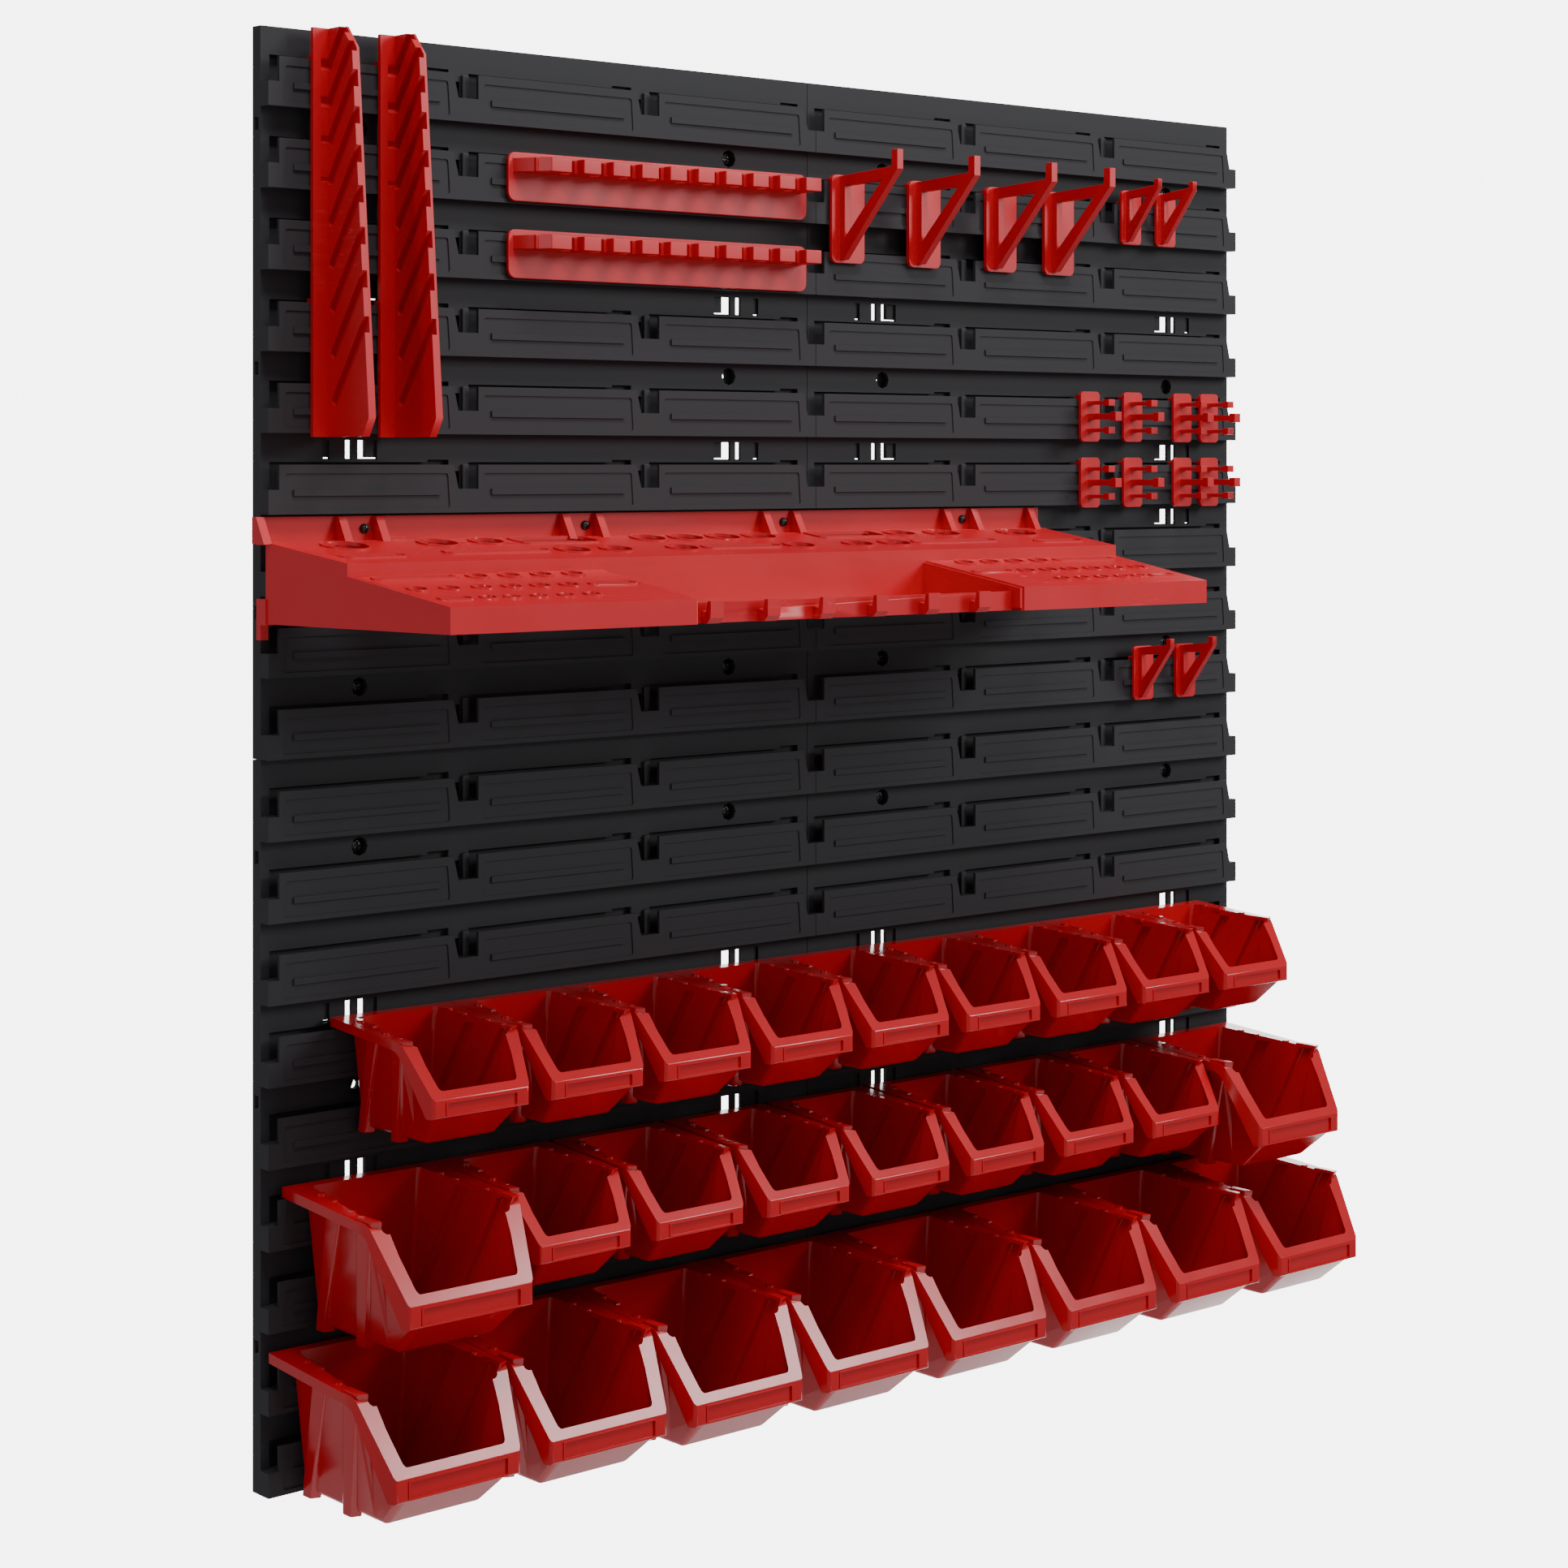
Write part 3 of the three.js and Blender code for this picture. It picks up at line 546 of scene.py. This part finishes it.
SMALL = {
    "half": 38.4, "front": 30.75, "reach": 91, "height": 60, "rear": 28.5, "flare": 36.4, "foot": 22.3,
    "band": 4.8, "front_band": 9.6, "drop": 33.5, "slope": 69, "toe": 71, "step": 76, "narrow": 5.6,
    "rib": 13, "rib_tops": (38, 66), "rib_feet": (12.7, 44.5), "tabs": (30, 60)}
LARGE = {
    "half": 48.7, "front": 39, "reach": 110, "height": 75, "rear": 37.5, "flare": 46.2, "foot": 30,
    "band": 5.4, "front_band": 11.8, "drop": 45, "slope": 84, "toe": 86, "step": 93, "narrow": 7,
    "rib": 16, "rib_tops": (46, 80), "rib_feet": (15, 54), "tabs": (37, 73)}
LARGE_FROM = 0.09
TUB = {"wall": 1.8, "fall": 0.075, "body_out": 8.6, "top": -1.0, "cut_top": 8, "edge": 0.4,
       "round_outside": 3.2, "round_inside": 2.2, "under_rim": 1.2, "step_in": 0.8, "front_in": 1.4}
NECK = {"behind": 8, "ahead": 2, "drop_behind": 3, "drop_ahead": 6, "foot_behind": 25}
HOOK = {"out": 3.2, "wall": 2, "rise": 6.5, "deep": 8, "side": 6, "web": 4}
RIB = {"reach": 2.4, "feet": 2.6, "trim": 2.6, "taper": 3.1, "root": 6, "top_outside": -4, "top_inside": -6,
       "floor": 3, "crest": 1.3, "spread": 1.0, "round": 0.9}
LABEL = {"side": 8.6, "margin": 1.7, "deep": 0.7, "proud": 0.45, "border": 1, "border_high": 0.8}
TAB = {"inside": 1.9, "outside": 1.1, "half": 3.6, "below": 1.7, "above": 0.35}
BUMP = {"behind": 11, "in": 0.55, "radius": 2.3, "sides": 15, "below": 4.3, "above": 0.75}


def both(points):
    """The points, given by their distance from the middle, on both sides."""
    return [p for half, out, z in points for p in ((half, out, z), (-half, out, z))]


def rim_height(out):
    """Height of the rim's top, which falls a little towards the front."""
    return -TUB["fall"] * (out - HOOK["out"])


def tub(size, inset, top):
    """The wide rear and the narrower front of the bin's body. Without an inset they are its outside, under
    the rim. With one they are its hollow, which runs up through the rim."""
    rear = TUB["body_out"] + inset
    slope = rim_height(size["slope"])
    foot = size["foot"] - inset
    base = -size["height"] + inset
    step = size["step"] - inset
    flare_top = top if inset else slope - TUB["under_rim"]
    wide_top = [(size["rear"] - inset, rear, top), (size["flare"] - inset, size["slope"], flare_top)]
    if inset:
        wide_top.append((size["flare"] - inset - TUB["step_in"], step, top))
    wide = wide_top + [(foot, rear + 1, base), (foot, size["toe"] - 6, base)]
    front = size["front"] - size["narrow"] + TUB["wall"] - inset
    end = size["reach"] - TUB["front_in"] - inset
    sill = -size["drop"] - size["front_band"] + 1 + inset
    crest = top if inset else -size["drop"] - 1
    neck = size["flare"] - size["narrow"] + 1 - inset
    neck_tops = (top, top) if inset else (slope - NECK["drop_behind"], slope - NECK["drop_ahead"])
    narrow = [
        (neck, size["slope"] - NECK["behind"], neck_tops[0]),
        (neck, size["slope"] + NECK["ahead"], neck_tops[1]),
        (front, end, crest), (front, end, sill),
        (foot, size["toe"] - inset, base), (foot, size["toe"] - NECK["foot_behind"], base)]
    round_by = TUB["round_inside"] if inset else TUB["round_outside"]
    return [hull(both(wide), round_by), hull(both(narrow), round_by)]


def wall_half(size, out, z):
    """Half width of the body's outer skin at a place on its rear part."""
    along = (out - TUB["body_out"]) / (size["slope"] - TUB["body_out"])
    top = size["rear"] + (size["flare"] - size["rear"]) * along
    return size["foot"] + (top - size["foot"]) * (1 + z / size["height"])


def rib(size, side, which, inside):
    """A slanted flute in a side wall: it stands out as a rib outside and is a groove inside."""
    top_z = RIB["top_inside"] if inside else RIB["top_outside"]
    base_z = -size["height"] + RIB["floor"] if inside else -size["height"] - RIB["feet"]
    trim = RIB["trim"] if inside else 0
    top = size["rib_tops"][which]
    foot = size["rib_feet"][which]
    half_top = size["rib"] / 2 - trim
    half_foot = size["rib"] / RIB["taper"] - trim / 2
    out_by = RIB["reach"] - TUB["wall"] * inside
    points = []
    for out, half, z in ((top, half_top, top_z), (foot, half_foot, base_z)):
        face = wall_half(size, out, max(z, -size["height"])) + out_by
        for end in (-1, 1):
            points.append((side * face, out + end * (half - RIB["crest"]), z))
            points.append((side * (face - RIB["root"]), out + end * (half + RIB["spread"]), z))
    return hull(points, RIB["round"], 2)


def rim(size):
    """The flange round the mouth: a side profile with a soft shoulder, cut to the rim's plan outline. The
    third number of each point is the radius of its corner."""
    slope_z = rim_height(size["slope"])
    low_front = -size["drop"] - size["front_band"]
    hook = HOOK["out"]
    profile = filleted([
        (hook, 0, 0.8), (size["slope"] + 1, slope_z, 7), (size["reach"], -size["drop"], 1.6),
        (size["reach"], low_front, 1.4), (size["reach"] - 5, low_front, 0.8),
        (size["slope"] - 1.5, slope_z - size["band"], 8), (hook, -size["band"], 0.5)], 1, 7)
    right = [
        (size["front"], size["reach"], 3), (size["half"], size["slope"] - 2, 30), (size["half"], hook, 1.5)]
    left = [(-x, out, radius) for x, out, radius in right[::-1]]
    plan = filleted(left + right, 1, 6)
    strip = prism(profile, "x", -size["half"] - 1, size["half"] + 1)
    return joined([strip], keep=prism(plan, "z", low_front - 5, 5))


def label_frame(size):
    """The sunk label field in the front band, and the thin raised frame round it."""
    half = size["front"] - LABEL["side"]
    top = -size["drop"] - LABEL["margin"]
    base = -size["drop"] - size["front_band"] + LABEL["margin"]
    front = size["reach"]
    wide = half + LABEL["border"]
    low = base - LABEL["border_high"]
    high = top + LABEL["border_high"]
    outer = filleted([(-wide, low), (wide, low), (wide, high), (-wide, high)], 0.8, 2)
    inner = filleted([(-half, base), (half, base), (half, top), (-half, top)], 0.5, 2)
    border = prism(outer, "out", front - 1, front + LABEL["proud"])
    return border, prism(inner, "out", front - LABEL["deep"], front + 1)


def edge_bumps(size, side, which):
    """A small tab and a round bump on the rim, at the edge of the opening."""
    out = size["tabs"][which]
    edge = side * (wall_half(size, out, 0) - TUB["wall"])
    z = rim_height(out)
    x0, x1 = sorted((edge - side * TAB["inside"], edge + side * TAB["outside"]))
    tab = block(x0, x1, out - TAB["half"], out + TAB["half"], z - TAB["below"], z + TAB["above"])
    out -= BUMP["behind"]
    edge = side * (wall_half(size, out, 0) - TUB["wall"])
    z = rim_height(out)
    outline = circle(edge + side * BUMP["in"], out, BUMP["radius"], BUMP["sides"])
    return [tab, prism(outline, "z", z - BUMP["below"], z + BUMP["above"])]


def rear_hook(size):
    """The plate that goes down behind a lip, and the two webs that join it to the body."""
    half = size["rear"] - HOOK["side"]
    out = HOOK["out"]
    parts = [block(-half, half, out, out + HOOK["wall"], -HOOK["rise"] - HOOK["deep"], -1)]
    for x in (half - HOOK["web"], HOOK["web"] - half):
        parts.append(block(x - 1, x + 1, out + 1, TUB["body_out"] + 1, 0.3 - HOOK["rise"], -1.2))
    return parts


def bin_mesh(size, name):
    """One hopper bin. Its origin is the middle of the rim's rear top edge, on the skin."""
    adds = [rim(size)] + tub(size, 0, TUB["top"])
    cuts = tub(size, TUB["wall"], TUB["cut_top"])
    bumps = []
    for side in (-1, 1):
        for which in (0, 1):
            adds.append(rib(size, side, which, 0))
            cuts.append(rib(size, side, which, 1))
            bumps += edge_bumps(size, side, which)
    border, field = label_frame(size)
    plate, *webs = rear_hook(size)
    adds += [plate, border, *webs]
    return dressed(joined([joined(adds, cuts + [field])] + bumps), name, TUB["edge"])


def make_bins():
    """The small bins share one mesh and the large ones another."""
    meshes = {"small": bin_mesh(SMALL, "small_bin"), "large": bin_mesh(LARGE, "large_bin")}
    for node in sorted(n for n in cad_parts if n.startswith("bin_")):
        low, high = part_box(node)
        kind = "large" if high.x - low.x > LARGE_FROM else "small"
        place = ((low.x + high.x) / 2, SKIN_Y, high.z)
        show(meshes[kind], f"{node}_tub", node, place, node, GLOSSY_RED)


# ---- shelf and holders ---------------------------------------------------------------------------

SHELF = {"top": 129, "back": (8.6, 115.7), "step": (78, 106), "wing": (75, 99.8), "front": (160, 86.2)}
CHEEK = {"x": 122.4, "half": 1.3, "low": 74, "back": (76.5, 98.6), "front": (159, 85.4)}
DECK_ROUNDS = [(252, 26, 12.5), (190, 22, 11), (156, 20, 9.5), (121, 53, 9.5), (91, 53, 9), (42, 20, 10),
               (14, 20, 10), (44, 54, 9)]
DECK_SLOTS = [(237, 275, 55, 62), (84, 136, 11, 29), (138, 206, 48, 55)]
WING_ROWS = [
    {"out": 87, "radius": 5.5, "at": (210, 189, 168, 147), "slot": (224, 275)},
    {"out": 115.5, "radius": 5, "at": (267, 247, 227, 208, 189.5, 171), "slot": (127, 157)},
    {"out": 141, "radius": 4, "at": (241, 226, 209, 192, 175), "slot": (252, 271)}]
MIDDLE_SLOT = (-28, 28, 50, 57)
RIM = {"from": -1.2, "to": 0.9, "over_round": 0.25, "over_slot": 0.2, "corner": 3.0, "wing_round": 1.2,
       "wing_slot": 1.1, "wing_half": 3}
SHELF_SCREWS = {"count": 4, "pitch": 150.3, "z": 122, "out": 2.9, "scale": 0.62}
EDGES = {"tool_shelf": 0.7, "wrench": 0.5, "driver": 0.4, "large_hook": 0.45, "small_hook": 0.4,
         "tool_clip": 0.3}


def surface(low, high):
    """Height of a sloping top that runs straight from one (out, z) to another."""
    def height(out):
        return low[1] + (high[1] - low[1]) * (out - low[0]) / (high[0] - low[0])
    return height


def raised_rim(inner, outer, height):
    """A low collar between two outlines (x, out), standing on a sloping top."""
    bm = bmesh.new()
    loops = []
    low, high = RIM["from"], RIM["to"]
    for outline, lift in ((inner, low), (inner, high), (outer, high), (outer, low)):
        loops.append([bm.verts.new((x, out, height(out) + lift)) for x, out in outline])
    count = len(inner)
    for here, following in zip(loops, loops[1:] + loops[:1]):
        for i in range(count):
            j = (i + 1) % count
            bm.faces.new((here[i], here[j], following[j], following[i]))
    return to_object(bm)


def round_rim(x, out, radius, height, wide=1.5):
    """The collar of a round hole."""
    return raised_rim(circle(x, out, radius - RIM["over_round"]), circle(x, out, radius + wide), height)


def slot_rim(x0, x1, out0, out1, height, wide=1.4):
    """The collar of a long hole."""
    outlines = []
    for grow in (-RIM["over_slot"], wide):
        radius = min(RIM["corner"], (out1 - out0) / 2) + grow
        outlines.append(filleted([
            (x0 - grow, out0 - grow), (x1 + grow, out0 - grow), (x1 + grow, out1 + grow),
            (x0 - grow, out1 + grow)], radius))
    return raised_rim(outlines[0], outlines[1], height)


def shelf_rims():
    """The collars round all the holes in the shelf's deck and wings."""
    deck = surface(SHELF["back"], SHELF["step"])
    wing = surface(SHELF["wing"], SHELF["front"])
    rims = [slot_rim(*MIDDLE_SLOT, deck)]
    for side in (-1, 1):
        rims += [round_rim(side * x, out, radius, deck) for x, out, radius in DECK_ROUNDS]
        for from_x, to_x, out0, out1 in DECK_SLOTS:
            rims.append(slot_rim(*sorted((side * from_x, side * to_x)), out0, out1, deck))
        for row in WING_ROWS:
            out = row["out"]
            rims += [round_rim(side * x, out, row["radius"], wing, RIM["wing_round"]) for x in row["at"]]
            x0, x1 = sorted(side * x for x in row["slot"])
            half = RIM["wing_half"]
            rims.append(slot_rim(x0, x1, out - half, out + half, wing, RIM["wing_slot"]))
    return merged(rims)


def shelf_cheeks():
    """The inner side walls of the two wings, up to just under their sloping tops."""
    back, front = CHEEK["back"], CHEEK["front"]
    outline = [(back[0], CHEEK["low"]), back, front, (front[0], CHEEK["low"])]
    middles = (-CHEEK["x"], CHEEK["x"])
    return merged([prism(outline, "x", x - CHEEK["half"], x + CHEEK["half"]) for x in middles])


def cad_copy(node):
    """A copy of a node's CAD mesh with its flat faces joined, ready for more detail."""
    obj = bpy.data.objects.new("copy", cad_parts[node].data.copy())
    obj.data.materials.clear()
    bpy.context.scene.collection.objects.link(obj)
    welded(obj.data, (0, 0, 0))
    return obj


def make_holders():
    """The shelf, racks, hooks and clips: their CAD shapes with rounded edges, and with more on the shelf."""
    for node in sorted(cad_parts):
        edges = [size for start, size in EDGES.items() if node.startswith(start)]
        if not edges:
            continue
        obj = cad_copy(node)
        if node == "tool_shelf":
            low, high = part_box(node)
            rims = shelf_rims()
            place = Matrix.Translation(((low.x + high.x) / 2, SKIN_Y, high.z - SHELF["top"] * MM))
            cheeks = shelf_cheeks()
            for part in (rims, cheeks):
                part.data.transform(place)
            obj = joined([obj, rims, cheeks])
        mesh = dressed(obj, node, edges[0])
        show(mesh, f"{node}_moulded", node, (0, 0, 0), WALL_BODY, SATIN_RED)


def make_shelf_screws():
    """A row of smaller screws in the shelf's back edge."""
    mesh = screw_mesh()
    mesh.transform(Matrix.Scale(SHELF_SCREWS["scale"], 4))
    low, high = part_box("tool_shelf")
    y = SKIN_Y - SHELF_SCREWS["out"] * MM
    z = high.z + (SHELF_SCREWS["z"] - SHELF["top"]) * MM
    for number in range(SHELF_SCREWS["count"]):
        from_middle = number - (SHELF_SCREWS["count"] - 1) / 2
        place = ((low.x + high.x) / 2 + from_middle * SHELF_SCREWS["pitch"] * MM, y, z)
        show(mesh, f"shelf_screw_{number + 1}", None, place, WALL_BODY, STEEL)


make_panels()
make_screws()
make_bins()
make_holders()
make_shelf_screws()


# ---- stage, light and camera ---------------------------------------------------------------------

def look_at(obj, target):
    """Turns a light towards a point."""
    obj.rotation_euler = (Vector(target) - obj.location).to_track_quat("-Z", "Y").to_euler()


def area_light(name, place, target, size, power):
    """A rectangular light. size is its width and height in metres, and power is in watts."""
    light = bpy.data.lights.new(name, "AREA")
    light.shape = "RECTANGLE"
    light.size, light.size_y = size
    light.energy = power
    obj = bpy.data.objects.new(name, light)
    obj.location = place
    bpy.context.scene.collection.objects.link(obj)
    look_at(obj, target)


FLOOR = {"half": 1.0, "below": 0.75}


def make_stage():
    """A pale floor some way below the wall."""
    bm = bmesh.new()
    bmesh.ops.create_grid(bm, x_segments=8, y_segments=8, size=FLOOR["half"])
    mesh = bpy.data.meshes.new("floor")
    bm.to_mesh(mesh)
    bm.free()
    floor = bpy.data.objects.new("floor", mesh)
    floor.location = (0, 0, CAD_BOX[0][2] - FLOOR["below"])
    bpy.context.scene.collection.objects.link(floor)
    nodes = Nodes("pale_floor")
    colour = nodes.mix(nodes.noise(3.0), (0.86, 0.86, 0.86), (0.9, 0.9, 0.9))
    nodes.link(colour, nodes.shader.inputs["Base Color"])
    nodes.shader.inputs["Roughness"].default_value = 0.9
    mesh.materials.append(nodes.material)


WORLD = {"room": 0.34, "backdrop": 6.0, "towards": (0.654, 0.756, -0.05), "fades_from": 0.72,
         "white_from": 0.93}


def make_world():
    """A dim room with one bright white backdrop, which lies in a fixed direction, beyond the wall."""
    world = bpy.data.worlds.new("studio")
    bpy.context.scene.world = world
    world.use_nodes = True
    tree = world.node_tree
    background = tree.nodes["Background"]
    place = tree.nodes.new("ShaderNodeTexCoord")
    facing = tree.nodes.new("ShaderNodeVectorMath")
    facing.operation = "DOT_PRODUCT"
    facing.inputs[1].default_value = WORLD["towards"]
    level = tree.nodes.new("ShaderNodeMapRange")
    level.inputs["From Min"].default_value = WORLD["fades_from"]
    level.inputs["From Max"].default_value = WORLD["white_from"]
    level.inputs["To Min"].default_value = WORLD["room"]
    level.inputs["To Max"].default_value = WORLD["backdrop"]
    tree.links.new(place.outputs["Generated"], facing.inputs[0])
    tree.links.new(facing.outputs["Value"], level.inputs["Value"])
    tree.links.new(level.outputs["Result"], background.inputs["Strength"])
    background.inputs["Color"].default_value = (1, 1, 1, 1)


CAMERA = {"x": -1.268, "y": -1.450, "z": 0.155, "yaw": 40.87, "lens": 72.18, "shift": -0.2034,
          "sensor": 36}


def make_camera():
    """A level camera with a vertical shift."""
    data = bpy.data.cameras.new("camera")
    data.lens = CAMERA["lens"]
    data.sensor_width = CAMERA["sensor"]
    data.shift_y = CAMERA["shift"]
    camera = bpy.data.objects.new("camera", data)
    camera.location = (CAMERA["x"], CAMERA["y"], CAMERA["z"])
    camera.rotation_euler = (math.pi / 2, 0, -math.radians(CAMERA["yaw"]))
    bpy.context.scene.collection.objects.link(camera)
    bpy.context.scene.camera = camera


make_stage()
make_world()
area_light("key", place=(1.9, -2.2, 1.3), target=(0, 0, 0.1), size=(0.9, 1.3), power=46)
area_light("top", place=(-0.2, -1.1, 2.4), target=(0, -0.05, 0), size=(1.6, 0.6), power=62)
area_light("left", place=(-2.6, -0.7, 0.3), target=(0, 0, 0), size=(0.3, 1.5), power=7)
make_camera()
